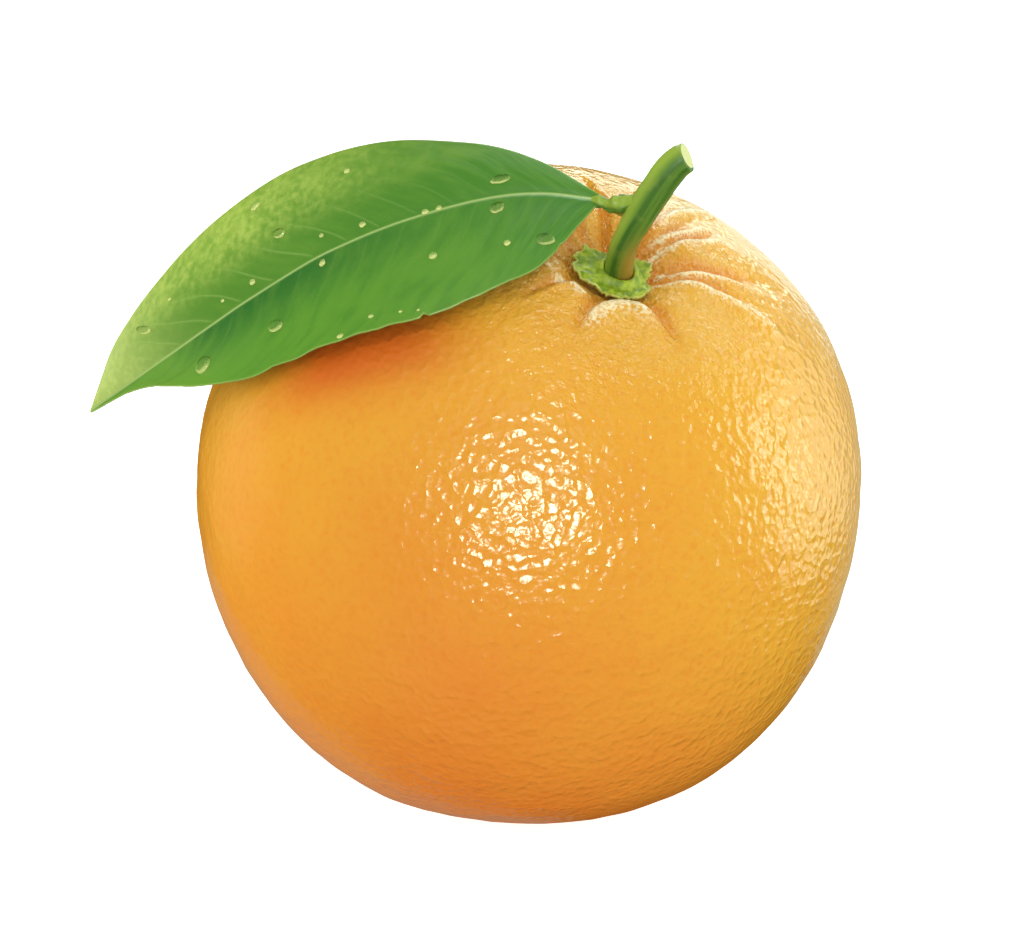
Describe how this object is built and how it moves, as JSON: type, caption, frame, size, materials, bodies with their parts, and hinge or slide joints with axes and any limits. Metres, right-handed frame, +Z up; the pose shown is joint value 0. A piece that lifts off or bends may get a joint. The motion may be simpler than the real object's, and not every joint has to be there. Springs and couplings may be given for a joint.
{
  "type": "orange",
  "caption": "Fresh orange with a furrowed stem end, its ragged green calyx, a short cut stem and a single glossy leaf.",
  "frame": {"origin": "centre of the small flat spot that the fruit rests on, straight below the fruit's centre", "axes": "+Z up; -Y towards the viewer that the stem end leans to; the leaf points to -X"},
  "size_m": [0.092, 0.0799, 0.0896],
  "materials": {
    "peel": "gloss",
    "calyx_green": "satin",
    "stem_green": "satin",
    "leaf_green": "gloss",
    "water_drops": "gloss"
  },
  "bodies": {
    "root": {"fruit": "peel", "calyx": "calyx_green", "stem": "stem_green", "petiole": "stem_green", "leaf": "leaf_green"}
  },
  "joints": []
}
